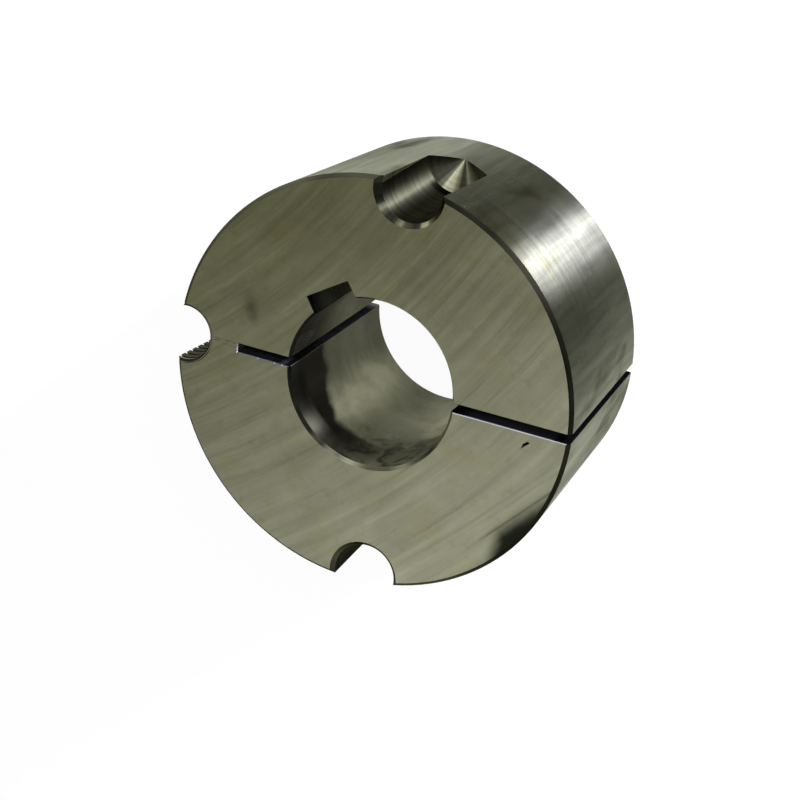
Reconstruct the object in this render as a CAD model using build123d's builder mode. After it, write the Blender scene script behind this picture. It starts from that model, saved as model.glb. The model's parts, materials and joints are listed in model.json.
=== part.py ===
"""Taper bush for a 35 mm keyed shaft, two-screw pattern. Millimetres and degrees.

The bush stands on its small end: Z is the bore axis, z = 0 is the small end face, and the
through slit opens towards +X. Angles round the bore are counted from the through slit.
"""

import os
from math import radians, tan

from build123d import *

# Tapered ring
bush_length = 44.45
large_end_diameter = 85.725
taper_half_angle = 4.0
large_rim_chamfer = 0.85
small_rim_chamfer = 0.4

# Shaft bore and its keyway
bore_diameter = 35.0
bore_chamfer = 0.45
keyway_width = 10.0
keyway_depth = 3.3
keyway_corner_radius = 0.3
keyway_angle = 123.0

# Slits that let the ring close on the shaft
slit_width = 2.0
relief_slit_web = 6.8

# Screw half holes in the rim of the large end
screw_circle_diameter = 82.55
plain_hole_diameter = 13.0
plain_hole_depth = 24.0
plain_hole_angle = 85.0
tapped_hole_diameter = 10.5
tapped_hole_depth = 28.5
hole_mouth_chamfer = 0.85
drill_point_angle = 118.0

# Sizes that follow from those
large_end_radius = large_end_diameter / 2
small_end_radius = large_end_radius - bush_length * tan(radians(taper_half_angle))
bore_radius = bore_diameter / 2
screw_circle_radius = screw_circle_diameter / 2
relief_slit_end = screw_circle_radius - tapped_hole_diameter / 2 - relief_slit_web


def drilled_hole(diameter, depth):
    """The shape a countersink and a drill leave, going down from its mouth at the origin."""
    radius = diameter / 2
    mouth = hole_mouth_chamfer
    point = radius / tan(radians(drill_point_angle / 2))
    with BuildPart() as hole:
        with BuildSketch(Plane.XZ):
            with BuildLine():
                Polyline(
                    (0, mouth),
                    (radius + 2 * mouth, mouth),
                    (radius, -mouth),
                    (radius, -depth),
                    (0, -depth - point),
                    close=True,
                )
            make_face()
        revolve(axis=Axis.Z)
    return hole.part


plain_hole = drilled_hole(plain_hole_diameter, plain_hole_depth)
tapped_hole = drilled_hole(tapped_hole_diameter, tapped_hole_depth)

with BuildPart() as taper_bush:
    # Turned ring: the taper, both end faces and the bore are one profile.
    with BuildSketch(Plane.XZ):
        with BuildLine():
            Polyline(
                (bore_radius, 0),
                (small_end_radius, 0),
                (large_end_radius, bush_length),
                (bore_radius, bush_length),
                close=True,
            )
        make_face()
    revolve(axis=Axis.Z)

    # Edge breaks round the bore, then round each rim.
    ring_edges = taper_bush.edges().filter_by(GeomType.CIRCLE)
    chamfer(ring_edges.sort_by(SortBy.RADIUS)[:2], bore_chamfer)
    ring_edges = taper_bush.edges().filter_by(GeomType.CIRCLE)
    chamfer(ring_edges.group_by(Axis.Z)[-1].sort_by(SortBy.RADIUS)[-1], large_rim_chamfer)
    ring_edges = taper_bush.edges().filter_by(GeomType.CIRCLE)
    chamfer(ring_edges.group_by(Axis.Z)[0].sort_by(SortBy.RADIUS)[-1], small_rim_chamfer)

    # Keyway, with its depth measured from the crown of the bore to a flat roof.
    with BuildSketch() as keyway:
        with PolarLocations(0, 1, start_angle=keyway_angle):
            Rectangle(
                bore_radius + keyway_depth, keyway_width, align=(Align.MIN, Align.CENTER)
            )
        roof_corners = keyway.vertices().sort_by_distance((0, 0))[-2:]
        fillet(roof_corners, keyway_corner_radius)
    extrude(amount=bush_length, mode=Mode.SUBTRACT)

    # Through slit to the right, and the relief slit that stops short of the tapped hole.
    with BuildSketch():
        Rectangle(large_end_diameter, slit_width, align=(Align.MIN, Align.CENTER))
        Rectangle(relief_slit_end, slit_width, align=(Align.MAX, Align.CENTER))
    extrude(amount=bush_length, mode=Mode.SUBTRACT)

    # Half holes: the screw circle lies so near the rim that each hole opens sideways.
    with Locations((0, 0, bush_length)):
        with PolarLocations(
            screw_circle_radius, 2, -plain_hole_angle, 2 * plain_hole_angle, endpoint=True
        ):
            add(plain_hole, mode=Mode.SUBTRACT)
        with PolarLocations(screw_circle_radius, 1, start_angle=180):
            add(tapped_hole, mode=Mode.SUBTRACT)

taper_bush.part.label = "taper_bush"

os.makedirs("parts", exist_ok=True)
export_step(taper_bush.part, "parts/taper_bush.step")
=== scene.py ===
import json
from math import cos, hypot, pi, radians, sin, tan

import bmesh
import bpy
from mathutils import Matrix, Vector


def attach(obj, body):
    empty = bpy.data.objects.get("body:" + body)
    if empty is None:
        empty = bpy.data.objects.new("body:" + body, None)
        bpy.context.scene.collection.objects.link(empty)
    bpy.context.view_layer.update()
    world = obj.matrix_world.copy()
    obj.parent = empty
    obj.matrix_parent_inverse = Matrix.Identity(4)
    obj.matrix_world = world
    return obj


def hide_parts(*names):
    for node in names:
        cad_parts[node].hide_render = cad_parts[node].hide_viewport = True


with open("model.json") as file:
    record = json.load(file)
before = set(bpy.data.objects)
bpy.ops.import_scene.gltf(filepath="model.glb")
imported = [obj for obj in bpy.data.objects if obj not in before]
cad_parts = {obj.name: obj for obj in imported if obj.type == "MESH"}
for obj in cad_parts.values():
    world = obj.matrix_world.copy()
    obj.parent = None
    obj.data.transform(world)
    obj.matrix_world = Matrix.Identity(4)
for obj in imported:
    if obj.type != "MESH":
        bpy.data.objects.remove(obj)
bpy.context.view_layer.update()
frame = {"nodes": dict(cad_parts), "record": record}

# Places and sizes of the bush, from its mounts. Lengths are metres.
MM = 0.001
mounts = {mount["name"]: mount for mount in frame["record"]["mounts"]}
bush_height = mounts["large_end_face"]["pos_m"][2]
bore_radius = mounts["shaft_bore"]["dims"]["r_mm"] * MM
screw_holes = {
    name: {
        "axis": Vector(mounts[name]["pos_m"][:2]),
        "radius": mounts[name]["dims"]["r_mm"] * MM,
        "depth": mounts[name]["dims"]["length_mm"] * MM,
    }
    for name in ("plain_half_hole_left", "plain_half_hole_right", "threaded_half_hole")
}
tapped = screw_holes["threaded_half_hole"]

# Shapes that the solid already has
taper_half_angle = radians(4.0)
bore_chamfer = 0.45 * MM
slit_half_width = 1.0 * MM
relief_slit_end = -29.225 * MM
keyway_bearing = radians(123.0)
keyway_half_width = 5.0 * MM

# Bore mouth, opened by hand and a little more towards the through slit
bore_mouth_radius = 18.08 * MM
bore_mouth_depth = 0.90 * MM
bore_mouth_shift = 0.10 * MM

# Edges broken with a file; the slits' edges are laid back by a wedge here and there
edge_break = 0.09 * MM
slit_edge_slope = 1.7
wedge_back, wedge_down, wedge_up = 1.3, 2.0, 0.3  # its reach, in widths of the edge
relief_end_width = 0.16 * MM
relief_end_share = 0.93
slit_edge_spans = (  # from X, to X, width
    (16.0 * MM, 44.0 * MM, 0.11 * MM),
    (-19.2 * MM, -16.0 * MM, 0.14 * MM),
    (-20.9 * MM, -20.3 * MM, 0.14 * MM),
    (-24.6 * MM, -24.0 * MM, 0.14 * MM),
)

# Countersink of the left plain hole
countersink_shift = -0.4 * MM
countersink_mouth = 7.42 * MM
countersink_reach = (1.5 * MM, 0.5 * MM)  # below and above the face
countersink_sides = 128

# Half-inch thread, 12 turns to the inch
thread_pitch = 25.4 * MM / 12
thread_root_radius = 6.35 * MM
thread_root_flat = 0.34 * MM
thread_flank = radians(27.5)
thread_foot = 20.0 * MM
thread_crest_radius = 5.65 * MM
first_crest_height = 43.02 * MM
crest_sides = 96
thread_steps = 48
thread_overlap = 0.35 * MM  # of the helical cutter into the room inside the crests
thread_overrun = 1.5 * MM  # of the helical cutter above the face
crest_overrun = 2 * MM

# Nick in the large end face: points of its rim and its centre, in millimetres
nick_rim = ((33.08, -4.42), (33.34, -3.28), (34.29, -2.58), (34.75, -2.88), (34.00, -3.52))
nick_centre = (33.9, -3.2)
nick_spread = 1.5  # of the rim at the top of the cutter, above the face
nick_depth = 0.5 * MM

# Centres of the arcs that the grinding wheel left
face_grinding_centre = (-0.124, 0.112)
foot_grinding_centre = (0.13, 0.09)

# How near counts as on a surface, and what counts as flat, long, sharp or a sliver
snug = 0.02 * MM
ring_slack = 0.03 * MM
level_slack = 0.002 * MM
corner_merge = 0.001 * MM
seam_merge = 0.0001 * MM
sliver_size = 0.0015 * MM
flat_angle = radians(0.2)
long_edge = 3 * MM
sharp_angle = radians(28)
wall_slack = 0.1 * MM
upright = 0.03  # most rise of the normal of an upright wall

# Camera, lamps and floor
camera_place = (0.1931232, 0.2131222, 0.5264270)
camera_target = (0.0068564, -0.0014180, 0.0443878)
camera_up = (-0.2545656, 0.9162206, -0.3094126)
camera_lens = 128.015
lamp_target = (0, 0, 0.02)
cool_light = (1.0, 1.0, 1.18)
room_light = 0.27
floor_middle = 0.6
floor_radius = 1.8
floor_bend = 0.6
wall_height = 1.0
floor_sides = 96
floor_glow = 0.95

# Marks that the cutters leave on the faces they make, and the names of the finishes
broken_edge_mark, slit_edge_mark, nick_mark = 1, 2, 3
edge_names = {
    broken_edge_mark: "broken_edge",
    slit_edge_mark: "slit_edge",
    nick_mark: "nick",
}
side_names = {
    "plain_half_hole_left": "left",
    "plain_half_hole_right": "right",
    "threaded_half_hole": "tapped",
}


# ---------------------------------------------------------------- thread cutter

def thread_cutter_tree():
    """Node tree: a helical bar of trapezoid section, the metal that a tap takes out."""
    tree = bpy.data.node_groups.new("thread_cutter", "GeometryNodeTree")
    sockets = (
        ("Pitch", "NodeSocketFloat"),
        ("Turns", "NodeSocketFloat"),
        ("Centre Radius", "NodeSocketFloat"),
        ("Bar Depth", "NodeSocketFloat"),
        ("Root Width", "NodeSocketFloat"),
        ("Mouth Width", "NodeSocketFloat"),
        ("Steps Per Turn", "NodeSocketInt"),
        ("Material", "NodeSocketMaterial"),
    )
    for name, kind in sockets:
        tree.interface.new_socket(name, in_out="INPUT", socket_type=kind)
    tree.interface.new_socket("Geometry", in_out="OUTPUT", socket_type="NodeSocketGeometry")
    new, link = tree.nodes.new, tree.links.new
    given = new("NodeGroupInput").outputs
    height = new("ShaderNodeMath")
    height.operation = "MULTIPLY"
    link(given["Pitch"], height.inputs[0])
    link(given["Turns"], height.inputs[1])
    helix = new("GeometryNodeCurveSpiral")
    link(given["Steps Per Turn"], helix.inputs["Resolution"])
    link(given["Turns"], helix.inputs["Rotations"])
    link(given["Centre Radius"], helix.inputs["Start Radius"])
    link(given["Centre Radius"], helix.inputs["End Radius"])
    link(height.outputs[0], helix.inputs["Height"])
    level = new("GeometryNodeSetCurveNormal")
    level.mode = "Z_UP"
    link(helix.outputs[0], level.inputs["Curve"])
    section = new("GeometryNodeCurvePrimitiveQuadrilateral")
    section.mode = "TRAPEZOID"
    link(given["Mouth Width"], section.inputs["Bottom Width"])
    link(given["Root Width"], section.inputs["Top Width"])
    link(given["Bar Depth"], section.inputs["Height"])
    section.inputs["Offset"].default_value = 0.0
    turned = new("GeometryNodeTransform")
    turned.inputs["Rotation"].default_value = (0, 0, -pi / 2)
    link(section.outputs[0], turned.inputs["Geometry"])
    sweep = new("GeometryNodeCurveToMesh")
    sweep.inputs["Fill Caps"].default_value = True
    link(level.outputs[0], sweep.inputs["Curve"])
    link(turned.outputs[0], sweep.inputs["Profile Curve"])
    realize = new("GeometryNodeRealizeInstances")
    link(sweep.outputs[0], realize.inputs[0])
    finish = new("GeometryNodeSetMaterial")
    link(realize.outputs[0], finish.inputs["Geometry"])
    link(given["Material"], finish.inputs["Material"])
    result = new("NodeGroupOutput")
    link(finish.outputs[0], result.inputs[0])
    return tree


def plain_mesh(obj):
    """The mesh of obj with its modifiers applied."""
    bpy.context.view_layer.update()
    graph = bpy.context.evaluated_depsgraph_get()
    return bpy.data.meshes.new_from_object(obj.evaluated_get(graph))


def outward(mesh):
    """Merges doubles and turns every face outwards."""
    bm = bmesh.new()
    bm.from_mesh(mesh)
    bmesh.ops.remove_doubles(bm, verts=bm.verts, dist=seam_merge)
    bmesh.ops.recalc_face_normals(bm, faces=bm.faces)
    bm.to_mesh(mesh)
    bm.free()


def make_thread_cutter(material):
    """The helical cutter, standing in the tapped half hole."""
    inner = thread_crest_radius - thread_overlap
    depth = thread_root_radius - inner
    top = bush_height + thread_overrun
    sizes = {
        "Pitch": thread_pitch,
        "Turns": (top - thread_foot) / thread_pitch,
        "Centre Radius": inner + depth / 2,
        "Bar Depth": depth,
        "Root Width": thread_root_flat,
        "Mouth Width": thread_root_flat + 2 * depth * tan(thread_flank),
        "Steps Per Turn": thread_steps,
        "Material": material,
    }
    holder = bpy.data.objects.new("thread_cutter", bpy.data.meshes.new("thread_cutter"))
    bpy.context.collection.objects.link(holder)
    modifier = holder.modifiers.new("thread_cutter", "NODES")
    modifier.node_group = thread_cutter_tree()
    for item in modifier.node_group.interface.items_tree:
        if item.in_out == "INPUT":
            modifier[item.identifier] = sizes[item.name]
    mesh = plain_mesh(holder)
    bpy.data.objects.remove(holder)
    # The helix starts at angle 0; its groove lies half a pitch from the crest.
    groove = first_crest_height + thread_pitch / 2
    angle = 2 * pi * ((thread_foot - groove) / thread_pitch % 1.0)
    mesh.transform(
        Matrix.Translation((tapped["axis"].x, tapped["axis"].y, thread_foot))
        @ Matrix.Rotation(angle, 4, "Z")
    )
    outward(mesh)
    cutter = bpy.data.objects.new("thread_cutter", mesh)
    bpy.context.collection.objects.link(cutter)
    return cutter


# ---------------------------------------------------------------- other cutters

def cutter_object(name, bm, mark=0):
    """A cutter whose faces leave the mark on what they cut."""
    bmesh.ops.recalc_face_normals(bm, faces=bm.faces)
    if bm.calc_volume(signed=True) < 0:
        bmesh.ops.reverse_faces(bm, faces=bm.faces)
    for face in bm.faces:
        face.material_index = mark
    mesh = bpy.data.meshes.new(name)
    bm.to_mesh(mesh)
    bm.free()
    hold_marks(mesh)
    cutter = bpy.data.objects.new(name, mesh)
    bpy.context.collection.objects.link(cutter)
    return cutter


def hold_marks(mesh):
    """Empty material slots, so that a cut keeps the marks of its faces."""
    for _ in range(1 + len(edge_names)):
        mesh.materials.append(None)


def make_crest_cutter():
    """A plain round bar that opens the tapped half hole to the crests of its thread."""
    bm = bmesh.new()
    top = bush_height + crest_overrun
    middle = Vector((tapped["axis"].x, tapped["axis"].y, (top + thread_foot) / 2))
    bmesh.ops.create_cone(
        bm, cap_ends=True, segments=crest_sides, radius1=thread_crest_radius,
        radius2=thread_crest_radius, depth=top - thread_foot,
        matrix=Matrix.Translation(middle),
    )
    return cutter_object("crest_cutter", bm)


def wedge_section(wall, width):
    """A slim wedge that lays back the top edge of a wall: (place across, height) corners."""
    near, far = wall + width, wall - wedge_back * width
    low = bush_height - wedge_down * width * slit_edge_slope
    high = bush_height + wedge_up * width * slit_edge_slope
    return [(far, high), (near, low), (near, high)]


def wedge(ends):
    """A three-sided bar between two ends, each a list of its three corners."""
    bm = bmesh.new()
    ends = [[bm.verts.new(place) for place in end] for end in ends]
    bm.faces.new(ends[0])
    bm.faces.new(ends[1][::-1])
    for i in range(3):
        j = (i + 1) % 3
        bm.faces.new((ends[0][i], ends[0][j], ends[1][j], ends[1][i]))
    return cutter_object("edge_cutter", bm, slit_edge_mark)


def make_edge_cutter(start, end, width):
    """A wedge along one top edge of a slit, between two places along X."""
    section = wedge_section(-slit_half_width, width)
    return wedge([[(x, y, z) for y, z in section] for x in (start, end)])


def make_end_cutter():
    """The same wedge across the closed end of the relief slit."""
    section = wedge_section(relief_slit_end, relief_end_width)
    side = relief_end_share * slit_half_width
    return wedge([[(x, y, z) for x, z in section] for y in (-side, side)])


def make_countersink_cutter():
    """The countersink of the left plain hole, which was run in a little off its axis."""
    bm = bmesh.new()
    axis = screw_holes["plain_half_hole_left"]["axis"]
    below, above = countersink_reach
    middle = Vector((axis.x + countersink_shift, axis.y, bush_height - (below - above) / 2))
    bmesh.ops.create_cone(
        bm, cap_ends=True, segments=countersink_sides, radius1=countersink_mouth - below,
        radius2=countersink_mouth + above, depth=below + above,
        matrix=Matrix.Translation(middle),
    )
    return cutter_object("countersink_cutter", bm)


def make_nick_cutter():
    """A small struck nick in the large end face, near the slit."""
    centre = Vector((*nick_centre, 0))
    bm = bmesh.new()
    top = []
    for x, y in nick_rim:
        place = centre + (Vector((x, y, 0)) - centre) * nick_spread
        top.append(bm.verts.new((place.x * MM, place.y * MM, bush_height + nick_depth / 2)))
    foot = bm.verts.new((centre.x * MM, centre.y * MM, bush_height - nick_depth))
    bm.faces.new(top)
    for a, b in zip(top, top[1:] + top[:1]):
        bm.faces.new((a, b, foot))
    return cutter_object("nick_cutter", bm, nick_mark)


# ---------------------------------------------------------------- bush body

def break_edges(bm):
    """Takes the sharpness off the long straight edges of the slits and the keyway."""
    sharp = [
        edge for edge in bm.edges
        if edge.calc_length() > long_edge and edge.calc_face_angle(0) > sharp_angle
    ]
    bmesh.ops.bevel(bm, geom=sharp, offset=edge_break, segments=1, affect="EDGES",
                    clamp_overlap=False, material=broken_edge_mark)


def open_bore_mouth(bm):
    """Draws the chamfer of the bore out to its true, steeper run-in."""
    openings = ((0.0, slit_half_width), (keyway_bearing, keyway_half_width))
    for vert in bm.verts:
        reach = hypot(vert.co.x, vert.co.y)
        at_top = abs(vert.co.z - bush_height) < level_slack
        at_foot = abs(vert.co.z - bush_height + bore_chamfer) < level_slack
        if at_foot and abs(reach - bore_radius) < ring_slack:
            vert.co.z = bush_height - bore_mouth_depth
        if not at_top or abs(reach - bore_radius - bore_chamfer) >= ring_slack:
            continue
        radius = bore_mouth_radius + bore_mouth_shift * vert.co.x / reach
        # A corner on the wall of a slit or of the keyway slides along that wall.
        for bearing, half_width in openings:
            out = vert.co.x * cos(bearing) + vert.co.y * sin(bearing)
            aside = vert.co.y * cos(bearing) - vert.co.x * sin(bearing)
            if abs(abs(aside) - half_width) < snug and (bearing == 0.0 or out > 0):
                grown = (radius ** 2 - aside ** 2) ** 0.5 * (1 if out > 0 else -1)
                vert.co.x = grown * cos(bearing) - aside * sin(bearing)
                vert.co.y = grown * sin(bearing) + aside * cos(bearing)
                break
        else:
            vert.co.x *= radius / reach
            vert.co.y *= radius / reach


def skin_mesh():
    """A merged copy of the solid's mesh, with its bore mouth opened and its edges broken."""
    bm = bmesh.new()
    bm.from_mesh(frame["nodes"]["taper_bush"].data)
    bmesh.ops.remove_doubles(bm, verts=bm.verts, dist=corner_merge)
    bmesh.ops.dissolve_limit(bm, angle_limit=flat_angle, verts=bm.verts, edges=bm.edges,
                             use_dissolve_boundaries=False)
    open_bore_mouth(bm)
    break_edges(bm)
    mesh = bpy.data.meshes.new("bush")
    bm.to_mesh(mesh)
    bm.free()
    hold_marks(mesh)
    return mesh


def subtract(piece, cutter):
    """Takes the cutter out of the piece and throws the cutter away."""
    cut = piece.modifiers.new("cut", "BOOLEAN")
    cut.operation = "DIFFERENCE"
    cut.solver = "EXACT"
    cut.object = cutter
    mesh = plain_mesh(piece)
    piece.modifiers.clear()
    piece.data = mesh
    bpy.data.objects.remove(cutter)


def drop_slivers(mesh):
    """Joins the corners that the cuts left almost together, and drops folded slivers."""
    bm = bmesh.new()
    bm.from_mesh(mesh)
    bmesh.ops.remove_doubles(bm, verts=bm.verts, dist=sliver_size)
    bmesh.ops.dissolve_degenerate(bm, dist=sliver_size, edges=bm.edges)
    bm.to_mesh(mesh)
    bm.free()


def hole_surface(centre, normal):
    """(name of the finish, axis) for a face of a screw hole, or None elsewhere."""
    for name, hole in screw_holes.items():
        arm = Vector((centre.x, centre.y)) - hole["axis"]
        reach, radius, foot = arm.length, hole["radius"], bush_height - hole["depth"]
        if reach > radius + 1.6 * MM or centre.z < foot - 6 * MM:
            continue
        inward = -(arm.x * normal.x + arm.y * normal.y) / max(reach, 1e-9)
        if abs(normal.z) < upright and inward > 0.97 and abs(reach - radius) < wall_slack:
            return side_names[name] + "_wall", hole["axis"]
        if normal.z > 0.2 and inward > max(0.2, 0.95 * hypot(normal.x, normal.y)):
            if centre.z > bush_height - 1.2 * MM and reach > radius - wall_slack:
                return side_names[name] + "_mouth", hole["axis"]
            if centre.z < foot + 0.2 * MM:
                return side_names[name] + "_point", hole["axis"]
        in_thread = hole is tapped and reach < thread_root_radius + 0.05 * MM
        if in_thread and abs(inward) + abs(normal.z) > 0.8:
            return "thread", hole["axis"]
    return None


def surface_of(polygon):
    """(name of the finish, axis it is turned about or None) for a face of the bush."""
    centre, normal = polygon.center, polygon.normal
    if normal.z > 0.999 and abs(centre.z - bush_height) < snug:
        return "ground_face", None
    if normal.z < -0.999 and abs(centre.z) < snug:
        return "ground_foot", None
    in_hole = hole_surface(centre, normal)
    if in_hole is not None:
        return in_hole
    axis = Vector((0.0, 0.0))
    reach = hypot(centre.x, centre.y)
    near_mouth = centre.z > bush_height - bore_mouth_depth
    if bore_radius - 1e-5 < reach < bore_mouth_radius and near_mouth and 0.25 < normal.z < 0.9:
        return "bore_chamfer", axis
    outward_share = (centre.x * normal.x + centre.y * normal.y) / max(reach, 1e-9)
    if outward_share > 0.98 and -0.17 < normal.z < -0.03:
        return "turned_taper", axis
    on_bore = abs(reach - bore_radius) < wall_slack
    if abs(normal.z) < upright and outward_share < -0.97 and on_bore:
        return "bored_wall", axis
    if abs(outward_share) > 0.98 * hypot(normal.x, normal.y) and 0.3 < abs(normal.z) < 0.97:
        return ("rim_chamfer" if outward_share > 0 else "bore_chamfer"), axis
    if reach < bore_radius + 5 * MM and abs(centre.y) > 2 * slit_half_width:
        return "keyway_wall", None
    return "sawn_wall", None


def turned_normal(name, polygon, spot, axis):
    """The true normal, at a corner, of the turned surface that a face stands for."""
    n = polygon.normal
    arm = (Vector((spot.x, spot.y)) - axis).normalized()
    mid = (Vector((polygon.center.x, polygon.center.y)) - axis).normalized()
    along = n.x * mid.x + n.y * mid.y
    if name == "thread":
        aside = -n.x * mid.y + n.y * mid.x
        return along * arm.x - aside * arm.y, along * arm.y + aside * arm.x, n.z
    rise = -sin(taper_half_angle) if name == "turned_taper" else n.z
    flat = (1.0 if along > 0 else -1.0) * max(0.0, 1 - rise * rise) ** 0.5
    return flat * arm.x, flat * arm.y, rise


def dress(mesh, finishes):
    """Gives each face its finish and each corner the true normal of its turned surface."""
    names = list(finishes)
    marks = [polygon.material_index for polygon in mesh.polygons]
    mesh.materials.clear()
    for name in names:
        mesh.materials.append(finishes[name])
    normals = [None] * len(mesh.loops)
    for polygon, mark in zip(mesh.polygons, marks):
        name, axis = surface_of(polygon) if mark == 0 else (edge_names[mark], None)
        polygon.material_index = names.index(name)
        polygon.use_smooth = True
        for index in polygon.loop_indices:
            spot = mesh.vertices[mesh.loops[index].vertex_index].co
            if axis is None:
                normals[index] = tuple(polygon.normal)
            else:
                normals[index] = turned_normal(name, polygon, spot, axis)
    mesh.normals_split_custom_set(normals)


# ---------------------------------------------------------------- finishes

def new_material(name):
    """A material with nodes: (material, its node tree, its main shader)."""
    material = bpy.data.materials.new(name)
    material.use_nodes = True
    return material, material.node_tree, material.node_tree.nodes["Principled BSDF"]


def rgb(r, g, b):
    """A colour in the form that a socket takes."""
    return (r, g, b, 1.0)


def degrees(*steps):
    """(bearing, grey) steps from pairs of (degrees from +X, grey)."""
    placed = sorted(((angle / 360 + 0.5) % 1.0, grey) for angle, grey in steps)
    return [(0.0, placed[0][1]), *placed, (1.0, placed[-1][1])]


class Nodes:
    """Short forms for the nodes of one material."""

    def __init__(self, tree):
        self.tree = tree
        self.object = tree.nodes.new("ShaderNodeTexCoord").outputs["Object"]

    def put(self, kind, **values):
        """A new node with the given settings."""
        node = self.tree.nodes.new(kind)
        for key, value in values.items():
            setattr(node, key, value)
        return node

    def feed(self, socket, value):
        """Links a socket to a socket, or sets it to a constant."""
        if isinstance(value, bpy.types.NodeSocket):
            self.tree.links.new(value, socket)
        else:
            socket.default_value = value

    def mapped(self, scale=(1, 1, 1), turn=0.0, source=None):
        """Object coordinates, or other ones, turned about Z and scaled."""
        node = self.put("ShaderNodeMapping", vector_type="POINT")
        self.feed(node.inputs["Vector"], source or self.object)
        node.inputs["Rotation"].default_value = (0, 0, turn)
        node.inputs["Scale"].default_value = scale
        return node.outputs[0]

    def noise(self, vector, scale, detail=3.0, rough=0.55, twist=0.0):
        node = self.put("ShaderNodeTexNoise")
        self.feed(node.inputs["Vector"], vector)
        node.inputs["Scale"].default_value = scale
        node.inputs["Detail"].default_value = detail
        node.inputs["Roughness"].default_value = rough
        node.inputs["Distortion"].default_value = twist
        return node.outputs["Fac"]

    def ramp(self, value, low, high, start=0.0, end=1.0, smooth=False):
        """start to end while the value goes from low to high, and no further."""
        node = self.put("ShaderNodeMapRange", clamp=True)
        if smooth:
            node.interpolation_type = "SMOOTHSTEP"
        self.feed(node.inputs["Value"], value)
        node.inputs["From Min"].default_value = low
        node.inputs["From Max"].default_value = high
        node.inputs["To Min"].default_value = start
        node.inputs["To Max"].default_value = end
        return node.outputs[0]

    def math(self, operation, a, b=0.0):
        node = self.put("ShaderNodeMath", operation=operation)
        self.feed(node.inputs[0], a)
        self.feed(node.inputs[1], b)
        return node.outputs[0]

    def add(self, a, b):
        return self.math("ADD", a, b)

    def minus(self, a, b):
        return self.math("SUBTRACT", a, b)

    def times(self, a, b):
        return self.math("MULTIPLY", a, b)

    def reach(self, x, y):
        """The distance from an axis, from the two places counted from it."""
        return self.math("SQRT", self.add(self.times(x, x), self.times(y, y)))

    def swing(self, value, size):
        """A noise of 0 to 1 turned into a swing of half the size either way."""
        return self.times(self.minus(value, 0.5), size)

    def line(self, away, width, smooth=False):
        """1 on a line, fading to 0 at the width from it."""
        return self.ramp(self.math("ABSOLUTE", away), width, 0.0, smooth=smooth)

    def mix(self, factor, a, b, way="MIX"):
        node = self.put("ShaderNodeMix", data_type="RGBA", blend_type=way)
        self.feed(node.inputs[0], factor)
        self.feed(node.inputs[6], a)
        self.feed(node.inputs[7], b)
        return node.outputs[2]

    def stain(self, colour, where, share, stain):
        """Lays the stain's colour over the colour, up to the share, where it lies."""
        return self.mix(self.times(where, share), colour, stain)

    def tint(self, colour, by):
        """The colour times another."""
        return self.mix(1.0, colour, by, "MULTIPLY")

    def direction(self, x, y, z):
        """A fixed direction, for the way that fine lines spread the light."""
        joined = self.put("ShaderNodeCombineXYZ")
        for socket, value in zip(joined.inputs, (x, y, z)):
            socket.default_value = value
        return joined.outputs[0]

    def blend_steps(self, value, steps):
        """A grey ramp through the given (position, tone) steps."""
        node = self.put("ShaderNodeValToRGB")
        ramp = node.color_ramp
        ramp.interpolation = "EASE"
        while len(ramp.elements) < len(steps):
            ramp.elements.new(0.5)
        for element, (position, tone) in zip(ramp.elements, steps):
            element.position = position
            element.color = rgb(tone, tone, tone)
        self.feed(node.inputs[0], value)
        return node.outputs[0]

    def places(self, axis=(0.0, 0.0)):
        """(x, y, z) sockets counted from a vertical axis, in metres."""
        away = self.put("ShaderNodeVectorMath", operation="SUBTRACT")
        self.feed(away.inputs[0], self.object)
        away.inputs[1].default_value = (axis[0], axis[1], 0.0)
        parts = self.put("ShaderNodeSeparateXYZ")
        self.feed(parts.inputs[0], away.outputs[0])
        return parts.outputs[0], parts.outputs[1], parts.outputs[2]

    def bearing(self, axis=(0.0, 0.0)):
        """The angle round a vertical axis as 0 to 1, from -X through -Y, +X and +Y."""
        x, y, _ = self.places(axis)
        turn = self.math("ARCTAN2", y, x)
        return self.add(self.times(turn, 0.5 / pi), 0.5)

    def spot(self, x, y, radius, soft, warp, stretch=1.0, lean=(0.0, 1.0)):
        """1 inside a round or oval spot of the face, fading to 0 outside."""
        px, py, _ = self.places((x, y))
        along = self.add(self.times(px, lean[0] * stretch), self.times(py, lean[1] * stretch))
        aside = self.add(self.times(px, lean[1]), self.times(py, -lean[0]))
        edge = self.add(self.reach(along, aside), warp)
        return self.ramp(edge, radius + soft, radius - soft, smooth=True)

    def bump(self, height, strength, distance):
        """The normal of fine relief."""
        node = self.put("ShaderNodeBump")
        node.inputs["Strength"].default_value = strength
        node.inputs["Distance"].default_value = distance
        self.feed(node.inputs["Height"], height)
        return node.outputs[0]

    def bare_metal(self, shader, colour, roughness, lines, depth, relief=0.3, along=None,
                   anisotropy=0.0, edge_tint=None):
        """Feeds the shader of a bare metal whose fine lines run across along."""
        self.feed(shader.inputs["Base Color"], colour)
        self.feed(shader.inputs["Roughness"], roughness)
        self.feed(shader.inputs["Normal"], self.bump(lines, relief, depth))
        if along is not None:
            self.feed(shader.inputs["Tangent"], along)
        shader.inputs["Metallic"].default_value = 1.0
        shader.inputs["Anisotropic"].default_value = anisotropy
        if edge_tint is not None:
            self.feed(shader.inputs["Specular Tint"], edge_tint)


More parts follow.
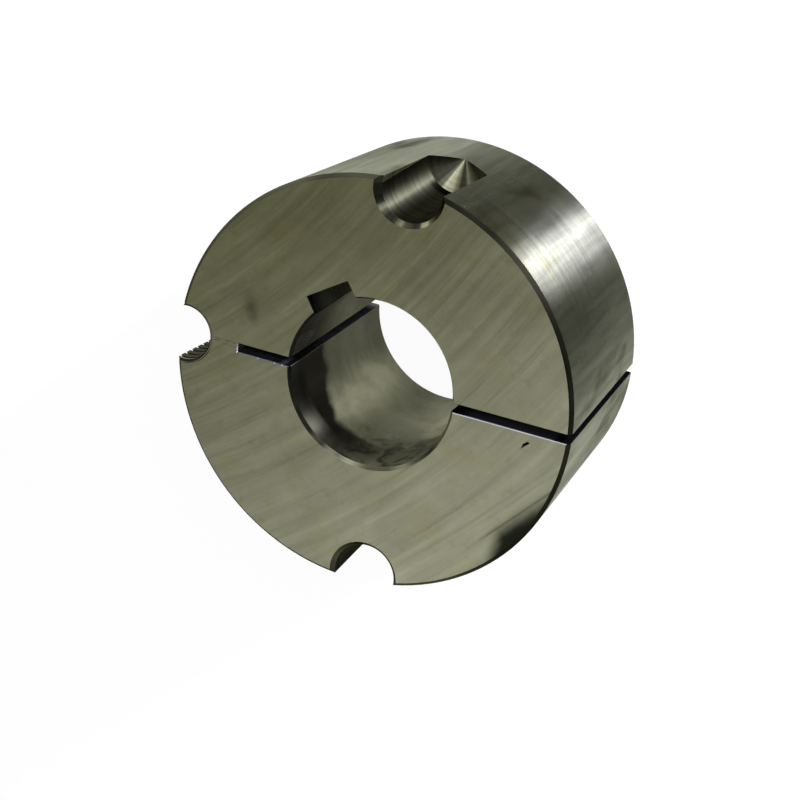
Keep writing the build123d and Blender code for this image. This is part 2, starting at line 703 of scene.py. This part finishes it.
def ground_finish(name, roughness, centre, marked=False):
    """Surface-ground iron: fine scratches in wide arcs round the wheel's centre, soft stains."""
    material, tree, shader = new_material(name)
    n = Nodes(tree)
    x, y, _ = n.places(centre)
    polar = n.put("ShaderNodeCombineXYZ")
    n.feed(polar.inputs[0], n.reach(x, y))
    n.feed(polar.inputs[1], n.times(n.math("ARCTAN2", y, x), hypot(*centre)))
    polar = polar.outputs[0]
    fine = n.noise(n.mapped((2600, 60, 1), source=polar), 1.0, 3, 0.7)
    broad = n.noise(n.mapped((500, 18, 1), source=polar), 1.0, 4, 0.65)
    scratch = n.ramp(n.noise(n.mapped((1300, 35, 1), source=polar), 1.0, 2, 0.5), 0.64, 0.74)
    stain = n.noise(n.object, 75, 5, 0.62, 0.4)
    cloud = n.noise(n.object, 26, 3, 0.5, 0.2)
    lines = n.add(n.times(fine, 0.35), n.times(broad, 0.65))
    tone = n.add(n.times(lines, 0.45), n.times(stain, 0.4))
    tone = n.add(tone, n.times(cloud, 0.15))
    colour = n.mix(n.ramp(tone, 0.37, 0.63), rgb(0.255, 0.257, 0.16), rgb(0.35, 0.353, 0.23))
    colour = n.stain(colour, scratch, 0.25, rgb(0.10, 0.10, 0.06))
    brown = n.ramp(n.noise(n.object, 330, 3, 0.6), 0.56, 0.74)
    colour = n.stain(colour, brown, 0.4, rgb(0.24, 0.21, 0.10))
    warm = n.ramp(n.noise(n.mapped((110, 190, 1), turn=0.5), 1.0, 4, 0.6, 0.5), 0.54, 0.70)
    colour = n.stain(colour, warm, 0.5, rgb(0.31, 0.29, 0.135))
    if marked:
        colour = face_marks(n, colour, lines)
    across = n.put("ShaderNodeCombineXYZ")
    n.feed(across.inputs[0], x)
    n.feed(across.inputs[1], y)
    unit = n.put("ShaderNodeVectorMath", operation="NORMALIZE")
    n.feed(unit.inputs[0], across.outputs[0])
    n.bare_metal(shader, colour, n.ramp(lines, 0.3, 0.7, roughness - 0.05, roughness + 0.06),
                 lines, 0.01 * MM, along=unit.outputs[0], anisotropy=0.4)
    return material


def face_marks(n, colour, lines):
    """What use and handling left on the large face, with painted light and shade across it and a
    painted shade at the rim.
    """
    x, y, _ = n.places()
    ragged = n.swing(n.noise(n.object, 260, 4, 0.6), 0.003)
    # Painted light and shade across the face.
    colour = painted_face_shading(n, colour, x, y)
    smudge = n.spot(-0.0271, 0.0093, 0.0010, 0.0014, ragged, stretch=0.5, lean=(-0.27, 0.96))
    colour = n.stain(colour, smudge, 0.62, rgb(0.05, 0.045, 0.022))
    halo = n.spot(-0.0277, 0.0102, 0.0030, 0.0030, ragged)
    colour = n.stain(colour, halo, 0.16, rgb(0.08, 0.075, 0.045))
    colour = rim_shade_and_streaks(n, colour, x, y, ragged, lines)
    return saw_marks(n, colour, x, y)


def painted_face_shading(n, colour, x, y):
    """Painted light and shade: the face is painted darker and warmer towards -X +Y and lighter
    towards the slit.
    """
    side = n.add(n.times(x, 0.52), n.times(y, -0.85))
    share = n.put("ShaderNodeCombineColor")
    for socket, dull, bright in zip(share.inputs, (0.84, 0.84, 0.70), (1.54, 1.54, 1.68)):
        n.feed(socket, n.ramp(side, -0.046, 0.031, dull, bright, smooth=True))
    return n.tint(colour, share.outputs[0])


def rim_shade_and_streaks(n, colour, x, y, ragged, lines):
    """A dark patch outside a straight line across the rim, a painted shade cast by set screws that
    are not built, and worn streaks beside it.
    """
    out = n.add(n.times(x, 0.728), n.times(y, -0.686))
    along = n.add(n.times(x, 0.686), n.times(y, 0.728))
    streaky = n.swing(lines, 0.003)
    end = n.ramp(along, -0.0022, 0.0046, -0.0043, 0.0)
    reach = n.add(n.add(out, streaky), n.add(end, n.times(ragged, 0.3)))
    # Painted shade: where the dark patch lies.
    painted_dark = n.ramp(reach, 0.0360, 0.0405, smooth=True)
    ended = n.ramp(along, -0.001, 0.003)
    for place, width, share in ((0.0375, 0.0005, 0.45), (0.0350, 0.0005, 0.14),
                                (0.0337, 0.0004, 0.1)):
        away = n.minus(n.add(out, n.times(streaky, 0.5)), place)
        streak = n.times(n.line(away, width, smooth=True), n.times(ended, share))
        colour = n.mix(streak, colour, rgb(0.05, 0.05, 0.03))
    # The painted shade of the patch goes over everything else.
    return n.mix(painted_dark, colour, rgb(0.019, 0.022, 0.014))


def saw_marks(n, colour, x, y):
    """Two scratches and specks where the saw ran on past the end of the relief slit."""
    ran = n.times(n.ramp(x, -0.0355, -0.0340), n.ramp(x, -0.0290, -0.0294))
    broken = n.ramp(n.noise(n.mapped((900, 1500, 1)), 1.0, 3, 0.6), 0.40, 0.58, 0.25, 1.0)
    for offset, lean, width, share in ((0.00100, 0.0, 0.00016, 0.5),
                                       (-0.0036, -0.12, 0.00022, 0.42)):
        drop = n.minus(n.minus(y, n.times(x, lean)), offset)
        scratch = n.times(n.line(drop, width), n.times(ran, broken))
        colour = n.stain(colour, scratch, share, rgb(0.08, 0.08, 0.05))
    away = n.math("ABSOLUTE", n.minus(y, 0.0004))
    between = n.times(n.ramp(away, 0.0007, 0.0004), ran)
    specks = n.ramp(n.noise(n.mapped((1400, 1800, 1)), 1.0, 2, 0.5), 0.56, 0.62)
    return n.stain(colour, n.times(between, specks), 0.4, rgb(0.07, 0.07, 0.045))


def turned_finish(name, tones, axis=(0.0, 0.0), warmth=0.64, roughness=0.4, anisotropy=0.3,
                  line=1500, edge_tint=0.3, wear=0.3, foot=None, brim=None):
    """Turned, drilled or sawn iron with fine lines across its axis.

    tones is one grey, or (bearing, grey) steps round the axis, where dirt and painted light and
    shade change; foot is the height below which one side of the wall is painted black, a painted
    shadow, and brim is (from height, to height, grey) where it is painted darker towards the
    mouth.
    """
    material, tree, shader = new_material(name)
    n = Nodes(tree)
    fine = n.noise(n.mapped((25, 25, line)), 1.0, 4, 0.65)
    cloud = n.noise(n.object, 60, 4, 0.6, 0.2)
    tone = n.add(n.times(fine, 0.7), n.times(cloud, 0.3))
    worn = n.ramp(tone, 0.36, 0.62, 1.0 - wear, 1.0 + wear)
    hue = n.put("ShaderNodeCombineColor")
    for socket, share in zip(hue.inputs, (1.0, 1.0, warmth)):
        n.feed(socket, n.times(worn, share))
    if isinstance(tones, float):
        tones = [(0.0, tones), (1.0, tones)]
    grey = n.blend_steps(n.bearing(axis), tones)
    # Painted shade: darker towards the mouth.
    if brim is not None:
        start, end, dull = brim
        _, _, height = n.places()
        grey = n.mix(n.ramp(height, start, end), grey, rgb(dull, dull, dull))
    colour = n.tint(grey, hue.outputs[0])
    # Painted shadow: one side of the wall is stained black below the foot.
    if foot is not None:
        _, _, height = n.places()
        low = n.ramp(height, foot, foot - 1.4 * MM, smooth=True)
        shadow_side = n.ramp(n.bearing(axis), 222 / 360 - 0.5, 233 / 360 - 0.5)
        colour = n.stain(colour, n.times(low, shadow_side), 0.9, rgb(0.002, 0.002, 0.0015))
    n.bare_metal(shader, colour, n.ramp(tone, 0.3, 0.7, roughness - 0.04, roughness + 0.05),
                 fine, 0.02 * MM, along=n.direction(0, 0, 1), anisotropy=anisotropy,
                 edge_tint=rgb(edge_tint, edge_tint, edge_tint))
    return material


def taper_finish():
    """The turned taper: painted dark on its +X +Y side, standing in for dark reflections, with
    painted dark bands, a painted highlight colour and a painted sheen; plain iron on the other
    side.
    """
    material, tree, shader = new_material("turned_taper")
    n = Nodes(tree)
    fine = n.noise(n.mapped((22, 22, 1600)), 1.0, 4, 0.65)
    cloud = n.noise(n.object, 55, 4, 0.6, 0.3)
    scuff = n.noise(n.mapped((70, 70, 28)), 1.0, 2, 0.5, 0.2)
    tone = n.add(n.times(fine, 0.6), n.times(cloud, 0.4))
    bearing = n.bearing()
    _, _, height = n.places()

    # Painted dark reflection: the taper's colour on its +X +Y side, and a less yellow one where
    # the lamps' highlight lies.
    painted_dark = n.mix(n.ramp(tone, 0.36, 0.62), rgb(0.021, 0.0215, 0.0100), rgb(0.034, 0.035, 0.0175))
    bare = n.mix(n.ramp(tone, 0.36, 0.62), rgb(0.0245, 0.0247, 0.0185),
                 rgb(0.0395, 0.0398, 0.0305))
    clean = n.mix(n.ramp(tone, 0.36, 0.62), rgb(0.17, 0.172, 0.122), rgb(0.29, 0.292, 0.215))
    # Painted highlight colour: where the lamps' highlight lies, the colour is less yellow.
    highlight_strip = n.blend_steps(bearing, degrees((32, 0.0), (40, 1.0), (54, 1.0), (62, 0.0)))
    # Painted shade: dark bands either side of the highlight.
    shade = n.blend_steps(bearing, degrees(
        (-30, 1.0), (10, 0.92), (20, 0.80), (29, 0.66), (36, 0.82), (42, 1.0), (62, 1.0),
        (120, 1.0)))
    # The hidden side keeps the plain iron's colour, without the painted dark.
    clean_side = n.blend_steps(bearing, degrees(
        (180, 1.0), (-60, 1.0), (-38, 0.0), (126, 0.0), (146, 1.0)))
    colour = n.tint(n.mix(highlight_strip, painted_dark, bare), shade)
    colour = n.mix(clean_side, colour, clean)

    # Painted sheen: the colour is made paler where the surface is seen edge-on, more at some
    # bearings than at others.
    weight = n.put("ShaderNodeLayerWeight")
    weight.inputs["Blend"].default_value = 0.5
    painted_sheen = n.ramp(weight.outputs["Facing"], 0.59, 0.84, smooth=True)
    sheen_by_bearing = n.blend_steps(bearing, degrees(
        (-60, 0.8), (-19, 0.8), (-14, 0.87), (-8, 1.15), (6, 1.08), (12, 1.0), (84, 1.05),
        (92, 1.35), (100, 1.28), (180, 1.3)))
    colour = n.mix(painted_sheen, colour, n.tint(rgb(0.33, 0.34, 0.275), sheen_by_bearing))

    colour = n.stain(colour, n.ramp(scuff, 0.56, 0.70, smooth=True), 0.22,
                     rgb(0.12, 0.12, 0.085))
    olive = n.ramp(n.noise(n.mapped((75, 75, 40)), 1.0, 3, 0.55, 0.3), 0.54, 0.68, smooth=True)
    colour = n.stain(colour, olive, 0.45, rgb(0.034, 0.032, 0.011))
    streak = n.noise(n.mapped((520, 520, 22)), 1.0, 3, 0.6)
    colour = n.tint(colour, n.ramp(streak, 0.36, 0.64, 0.90, 1.22))
    # Painted shade: the strip of the lamps' highlight is darkened towards the foot.
    strip_foot = n.blend_steps(bearing, degrees(
        (30, 0.0), (44, 1.0), (54, 1.0), (64, 0.4), (72, 0.0)))
    strip_foot = n.times(strip_foot, n.ramp(height, 0.030, 0.003, 0.0, 0.42))
    colour = n.mix(strip_foot, colour, rgb(0.001, 0.001, 0.001))
    n.bare_metal(shader, colour, n.ramp(tone, 0.3, 0.7, 0.33, 0.40), fine, 0.01 * MM,
                 along=n.direction(0, 0, 1), anisotropy=1.0, edge_tint=rgb(0.15, 0.15, 0.10))
    return material


# The bored wall by bearing: 0 at -X, 0.25 at -Y, 0.5 at +X, 0.75 at +Y. These tables paint its
# light and shade, except bore_blotched, which places its stains.
bore_dark_band_dip = [
    (0.0, 0.9), (0.05, 1.0), (0.10, 0.56), (0.12, 0.38), (0.15, 0.0), (0.88, 0.0), (0.98, 0.2),
    (1.0, 0.9)]
bore_beside_keyway = [(0.0, 0.0), (0.86, 0.0), (0.885, 1.0), (0.985, 1.0), (0.999, 0.0)]
bore_dark_band_share = [
    (0.0, 1.0), (0.16, 0.97), (0.183, 0.90), (0.20, 0.83), (0.212, 0.70), (0.235, 0.5),
    (0.27, 0.3), (0.40, 0.3), (0.80, 0.3), (0.87, 1.0), (1.0, 1.0)]
bore_shade = [
    (0.0, 0.45), (0.06, 0.48), (0.12, 0.6), (0.20, 0.60), (0.22, 0.66), (0.25, 0.8),
    (0.28, 1.0), (0.36, 1.0), (0.45, 0.6), (0.85, 0.27), (0.93, 0.36), (0.99, 0.43)]
bore_painted_light = [(0.0, 0.0), (0.285, 0.0), (0.31, 1.0), (0.36, 1.0), (0.40, 0.0)]
bore_blotched = [
    (0.0, 0.0), (0.17, 0.0), (0.20, 0.8), (0.25, 1.0), (0.33, 0.9), (0.40, 0.3), (0.44, 0.0)]
bore_dark_band_top = [
    (0.0, 0.05), (0.0167, 0.045), (0.05, 0.022), (0.067, 0.014), (0.083, 0.006),
    (0.10, 0.0013), (0.117, 0.0005), (0.133, 0.0004), (0.15, 0.001), (0.167, 0.0013),
    (0.19, 0.0025), (0.86, 0.022), (0.945, 0.022), (0.97, 0.032), (1.0, 0.055)]
bore_dark_band_foot = [
    (0.0, 0.06), (0.067, 0.06), (0.083, 0.04), (0.10, 0.018), (0.117, 0.009), (0.133, 0.009),
    (0.15, 0.012), (0.167, 0.010), (0.86, 0.036), (0.95, 0.04), (0.97, 0.055), (1.0, 0.07)]


def bore_finish():
    """The bored wall: painted light and shade round it, a painted highlight low on one side, and a
    dark band of painted shade near the mouth.
    """
    material, tree, shader = new_material("bored_wall")
    n = Nodes(tree)
    fine = n.noise(n.mapped((40, 40, 900)), 1.0, 4, 0.6)
    cloud = n.noise(n.object, 85, 4, 0.6, 0.5)
    tone = n.add(n.times(fine, 0.15), n.times(cloud, 0.85))
    bearing = n.bearing()
    _, _, height = n.places()

    # The dark band of painted shade at the mouth, and how black it is
    ragged = n.swing(n.noise(n.object, 180, 4, 0.6), 0.0035)
    dip = n.blend_steps(bearing, bore_dark_band_dip)
    level = n.add(n.add(height, ragged), n.times(dip, 0.006))
    band = n.ramp(level, 0.0322, 0.0350, smooth=True)
    faded = n.ramp(n.add(height, n.times(ragged, 2.5)), 0.020, 0.034)
    beside_keyway = n.blend_steps(bearing, bore_beside_keyway)
    band = n.add(n.times(band, n.minus(1.0, beside_keyway)), n.times(faded, beside_keyway))
    dark_band = n.times(band, n.blend_steps(bearing, bore_dark_band_share))
    dark_band_tone = n.mix(n.ramp(height, 0.0365, 0.0395), n.blend_steps(bearing, bore_dark_band_foot),
                     n.blend_steps(bearing, bore_dark_band_top))
    dark_band_colour = n.tint(dark_band_tone, rgb(1.0, 0.97, 0.78))

    # The bare iron below it: painted light and shade by bearing, darker towards the foot, a
    # painted highlight low on one side, and dark blotches.
    colour = n.mix(n.ramp(tone, 0.36, 0.64), rgb(0.33, 0.33, 0.21), rgb(0.61, 0.61, 0.43))
    colour = n.tint(colour, n.blend_steps(bearing, bore_shade))
    colour = n.tint(colour, n.ramp(height, 0.005, 0.0165, 0.72, 1.0))
    painted_light = n.times(n.blend_steps(bearing, bore_painted_light), n.ramp(height, 0.0285, 0.0255))
    colour = n.mix(painted_light, colour, n.tint(colour, rgb(1.5, 1.5, 1.5)))
    blotch = n.ramp(n.noise(n.mapped((260, 260, 180)), 1.0, 4, 0.65, 0.8), 0.45, 0.58, smooth=True)
    blotch = n.times(blotch, n.blend_steps(bearing, bore_blotched))
    blotch = n.times(blotch, n.ramp(height, 0.024, 0.033))
    colour = n.stain(colour, blotch, 0.7, rgb(0.045, 0.040, 0.02))

    # Painted shade: the dark band is laid over the bore wall.
    colour = n.mix(dark_band, colour, dark_band_colour)
    n.bare_metal(shader, colour, n.ramp(tone, 0.3, 0.7, 0.46, 0.54), fine, 0.01 * MM,
                 relief=0.25, along=n.direction(0, 0, 1), anisotropy=0.95,
                 edge_tint=n.mix(dark_band, rgb(0.8, 0.8, 0.8), rgb(0.3, 0.3, 0.3)))
    return material


def sawn_finish():
    """The dark walls of the slits: painted shade near the taper and high up by the bore, painted
    light at the foot where light gets in.
    """
    material, tree, shader = new_material("sawn_wall")
    n = Nodes(tree)
    x, y, height = n.places()
    reach = n.reach(x, y)
    skin = n.minus(reach, n.times(height, tan(taper_half_angle)))
    lines = n.noise(n.mapped((25, 25, 600)), 1.0, 4, 0.65)
    # Painted shade: near black towards the taper's skin and high up by the bore.
    plain = n.mix(n.ramp(skin, 0.0355, 0.0375), rgb(0.12, 0.125, 0.15), rgb(0.0028, 0.0028, 0.004))
    lip = n.times(n.ramp(height, 0.024, 0.041), n.ramp(reach, 0.022, 0.0185))
    plain = n.mix(lip, plain, rgb(0.004, 0.0042, 0.0045))
    # Painted light: paler at the foot, near the bore.
    foot = n.times(n.ramp(height, 0.0035, 0.0005), n.ramp(reach, 0.024, 0.019))
    colour = n.stain(plain, foot, 0.8, rgb(0.30, 0.30, 0.22))
    worn = n.put("ShaderNodeCombineColor")
    share = n.ramp(lines, 0.36, 0.62, 0.75, 1.25)
    for socket in worn.inputs:
        n.feed(socket, share)
    n.bare_metal(shader, n.tint(colour, worn.outputs[0]), n.ramp(lines, 0.3, 0.7, 0.52, 0.62),
                 lines, 0.02 * MM, edge_tint=rgb(0.08, 0.08, 0.08))
    return material


# Greys round each turned or drilled surface, by degrees from +X round its own axis: mostly painted
# light and shade, with glints painted where they fall and greys held down where the lamps glint
# Rim chamfer: dark as oxide, and darker still from 10 to 82 degrees, a painted shade over the
# lamps' glint.
rim_chamfer_tones = degrees(
    (-60, 0.07), (-50, 0.04), (-40, 0.014), (-10, 0.015), (10, 0.007), (20, 0.003),
    (30, 0.0015), (60, 0.002), (70, 0.006), (82, 0.007), (98, 0.085), (110, 0.06),
    (120, 0.11), (150, 0.12), (200, 0.11))
# Bore chamfer: painted glints on the near side and from 252 to 348 degrees, painted shade near
# black on the far side.
bore_chamfer_tones = degrees(
    (-4, 0.3), (10, 0.9), (86, 0.9), (96, 0.14), (108, 0.045), (144, 0.02), (168, 0.018),
    (192, 0.007), (204, 0.003), (216, 0.0005), (228, 0.00025), (240, 0.003), (252, 0.072),
    (264, 0.30), (276, 0.14), (288, 0.16), (300, 0.40), (312, 0.16), (324, 0.10),
    (336, 0.40), (348, 0.45))
# Painted light and shade round the left hole's wall, lightest near 350 degrees.
left_wall_tones = degrees(
    (180, 0.022), (200, 0.020), (208, 0.024), (220, 0.016), (230, 0.0085), (250, 0.0135),
    (270, 0.026), (300, 0.03), (335, 0.04), (350, 0.16))
# Painted glints round the left hole's mouth at 254 to 260 and 298 to 306 degrees, painted shade
# between.
left_mouth_tones = degrees(
    (180, 0.016), (196, 0.011), (202, 0.005), (210, 0.0045), (216, 0.015), (220, 0.013),
    (226, 0.005), (234, 0.0042), (243, 0.011), (249, 0.03), (254, 0.12), (260, 0.24),
    (267, 0.09), (275, 0.06), (285, 0.03), (292, 0.05), (298, 0.34), (306, 0.42),
    (313, 0.14), (327, 0.04), (345, 0.03))
# Painted light and shade round the right hole's mouth, lighter from 10 to 88 degrees.
right_mouth_tones = degrees(
    (180, 0.045), (10, 0.07), (88, 0.07), (102, 0.035), (130, 0.04), (170, 0.045))
# Painted highlight: a bright fan on the drill point at 250 to 262 and near 300 degrees, painted
# shade elsewhere.
left_point_tones = degrees(
    (185, 0.014), (205, 0.011), (218, 0.006), (230, 0.006), (241, 0.04), (250, 0.33),
    (262, 0.44), (272, 0.22), (280, 0.07), (290, 0.08), (300, 0.33), (308, 0.20),
    (320, 0.12), (330, 0.06), (350, 0.06))
# Painted shade: the broken edges are darkened by the keyway, from 105 to 145 degrees, over the
# lamps' glint.
broken_edge_tones = degrees((95, 0.12), (105, 0.008), (145, 0.008), (155, 0.12))
# Painted highlight: the laid-back slit edges are near white along the through slit and greyer at
# the relief slit.
slit_edge_tones = degrees((180, 0.35), (-120, 0.35), (-60, 0.95), (60, 0.95), (120, 0.35))


def make_finishes():
    """The finish of each surface, by the surface's name."""
    left, right, thread = (
        tuple(screw_holes[name]["axis"])
        for name in ("plain_half_hole_left", "plain_half_hole_right", "threaded_half_hole"))
    turned = {
        "rim_chamfer": dict(tones=rim_chamfer_tones, roughness=0.45, edge_tint=0.1),
        "bore_chamfer": dict(tones=bore_chamfer_tones, edge_tint=0.05),
        "left_wall": dict(tones=left_wall_tones, axis=left, roughness=0.46, anisotropy=0.9,
                          edge_tint=0.15, wear=0.45, foot=23.9 * MM),
        "right_wall": dict(tones=0.025, axis=right, roughness=0.46, anisotropy=0.9,
                           edge_tint=0.2, wear=0.45),
        "left_mouth": dict(tones=left_mouth_tones, axis=left, roughness=0.3),
        "right_mouth": dict(tones=right_mouth_tones, axis=right, roughness=0.3),
        "left_point": dict(tones=left_point_tones, axis=left, roughness=0.45, anisotropy=0.6,
                           wear=0.25),
        "right_point": dict(tones=0.13, axis=right, roughness=0.45, anisotropy=0.6, wear=0.5),
        "tapped_wall": dict(tones=0.03, axis=thread, roughness=0.46),
        "tapped_mouth": dict(tones=0.022, axis=thread),
        "tapped_point": dict(tones=0.1, axis=thread, wear=0.5),
        "thread": dict(tones=0.12, axis=thread, warmth=0.68, roughness=0.6, anisotropy=0.0,
                       wear=0.5),
        # Painted shade: the keyway wall is darkened near the mouth, over the lamps' glint.
        "keyway_wall": dict(tones=0.085, warmth=0.8, roughness=0.55, line=600,
                            brim=(40.0 * MM, 43.0 * MM, 0.0008)),
        "nick": dict(tones=0.012, roughness=0.6, anisotropy=0.0, edge_tint=0.1),
        "broken_edge": dict(tones=broken_edge_tones, anisotropy=0.0),
        "slit_edge": dict(tones=slit_edge_tones, warmth=0.93, roughness=0.3, anisotropy=0.0,
                          edge_tint=0.9, wear=0.1),
    }
    return {
        "ground_face": ground_finish("ground_face", 0.31, face_grinding_centre, marked=True),
        "ground_foot": ground_finish("ground_foot", 0.34, foot_grinding_centre),
        "turned_taper": taper_finish(),
        "bored_wall": bore_finish(),
        "sawn_wall": sawn_finish(),
        **{name: turned_finish(name, **values) for name, values in turned.items()},
    }


# ---------------------------------------------------------------- studio

def floor_mesh():
    """A round floor that curves up into a low wall all round, facing up and inwards."""
    bm = bmesh.new()
    bend_turns = [radians(turn) for turn in range(10, 91, 10)]
    profile = [(floor_middle, 0.0), (floor_radius, 0.0)]
    profile += [(floor_radius + floor_bend * sin(turn), floor_bend - floor_bend * cos(turn))
                for turn in bend_turns]
    profile += [(floor_radius + floor_bend, wall_height)]
    rings = []
    for reach, height in profile:
        rings.append([bm.verts.new((reach * cos(2 * pi * i / floor_sides),
                                    reach * sin(2 * pi * i / floor_sides), height))
                      for i in range(floor_sides)])
    bm.faces.new(rings[0])
    for low, high in zip(rings, rings[1:]):
        for i in range(floor_sides):
            j = (i + 1) % floor_sides
            bm.faces.new((low[i], low[j], high[j], high[i]))
    bmesh.ops.recalc_face_normals(bm, faces=bm.faces)
    bm.faces.ensure_lookup_table()
    if bm.faces[0].normal.z < 0:
        bmesh.ops.reverse_faces(bm, faces=bm.faces)
    for face in bm.faces:
        face.smooth = True
    mesh = bpy.data.meshes.new("floor")
    bm.to_mesh(mesh)
    bm.free()
    return mesh


def floor_paper():
    """Pale paper that holds shadows, and is nearly white where it is seen or mirrored."""
    material, tree, shader = new_material("floor_paper")
    n = Nodes(tree)
    shader.inputs["Base Color"].default_value = rgb(0.9, 0.9, 0.9)
    shader.inputs["Roughness"].default_value = 0.9
    shader.inputs["Specular IOR Level"].default_value = 0.0
    rays = n.put("ShaderNodeLightPath").outputs
    seen = n.math("MAXIMUM", rays["Is Camera Ray"], rays["Is Glossy Ray"])
    seen = n.math("MAXIMUM", seen, rays["Is Transmission Ray"])
    glow = n.put("ShaderNodeEmission")
    glow.inputs["Color"].default_value = rgb(1, 1, 1)
    glow.inputs["Strength"].default_value = 1.0
    blend = n.put("ShaderNodeMixShader")
    n.feed(blend.inputs[0], n.times(seen, floor_glow))
    n.feed(blend.inputs[1], shader.outputs[0])
    n.feed(blend.inputs[2], glow.outputs[0])
    n.feed(tree.nodes["Material Output"].inputs["Surface"], blend.outputs[0])
    return material


def make_floor():
    """The floor on which the bush stands."""
    mesh = floor_mesh()
    mesh.materials.append(floor_paper())
    floor = bpy.data.objects.new("floor", mesh)
    bpy.context.collection.objects.link(floor)


def add_lamp(name, place, size, radiance, tint=(1.0, 1.0, 1.0)):
    """A soft oblong lamp at place that faces the middle of the bush."""
    data = bpy.data.lights.new(name, "AREA")
    data.shape = "RECTANGLE"
    data.size, data.size_y = size
    data.energy = radiance * pi * size[0] * size[1]
    data.color = tint
    lamp = bpy.data.objects.new(name, data)
    lamp.location = place
    way = Vector(place) - Vector(lamp_target)
    lamp.rotation_euler = way.to_track_quat("Z", "Y").to_euler()
    bpy.context.collection.objects.link(lamp)


def light_studio():
    """An even pale room, two broad lamps and two low ones that strike the taper and the bore."""
    world = bpy.data.worlds.new("studio")
    world.use_nodes = True
    background = world.node_tree.nodes["Background"]
    background.inputs["Color"].default_value = rgb(1, 1, 1)
    background.inputs["Strength"].default_value = room_light
    bpy.context.scene.world = world
    add_lamp("key", (0.25, -1.0, 0.82), (1.2, 1.0), 2.2)
    add_lamp("high", (0.72, 0.83, 1.5), (0.7, 0.7), 9.0)
    add_lamp("low_main", (0.532, 0.604, 0.15), (0.026, 0.10), 4600.0, cool_light)
    add_lamp("low_second", (0.61, 0.52, 0.15), (0.07, 0.10), 880.0, cool_light)


def place_camera():
    """The camera, above the +X +Y side and a little rolled."""
    data = bpy.data.cameras.new("camera")
    data.sensor_width = 36.0
    data.lens = camera_lens
    data.clip_start = 0.01
    camera = bpy.data.objects.new("camera", data)
    place, target = Vector(camera_place), Vector(camera_target)
    forward = (target - place).normalized()
    right = forward.cross(Vector(camera_up)).normalized()
    up = right.cross(forward)
    turn = Matrix((right, up, -forward)).transposed()
    camera.matrix_world = Matrix.Translation(place) @ turn.to_4x4()
    bpy.context.collection.objects.link(camera)
    bpy.context.scene.camera = camera


# ---------------------------------------------------------------- assembly

place_camera()
make_floor()
light_studio()

finishes = make_finishes()
bush = bpy.data.objects.new("bush", skin_mesh())
bpy.context.collection.objects.link(bush)
subtract(bush, make_countersink_cutter())
subtract(bush, make_crest_cutter())
subtract(bush, make_thread_cutter(finishes["thread"]))
subtract(bush, make_nick_cutter())
for start, end, width in slit_edge_spans:
    subtract(bush, make_edge_cutter(start, end, width))
subtract(bush, make_end_cutter())
drop_slivers(bush.data)
dress(bush.data, finishes)

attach(bush, "root")
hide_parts("taper_bush")

scene = bpy.context.scene
scene.view_settings.view_transform = "Standard"
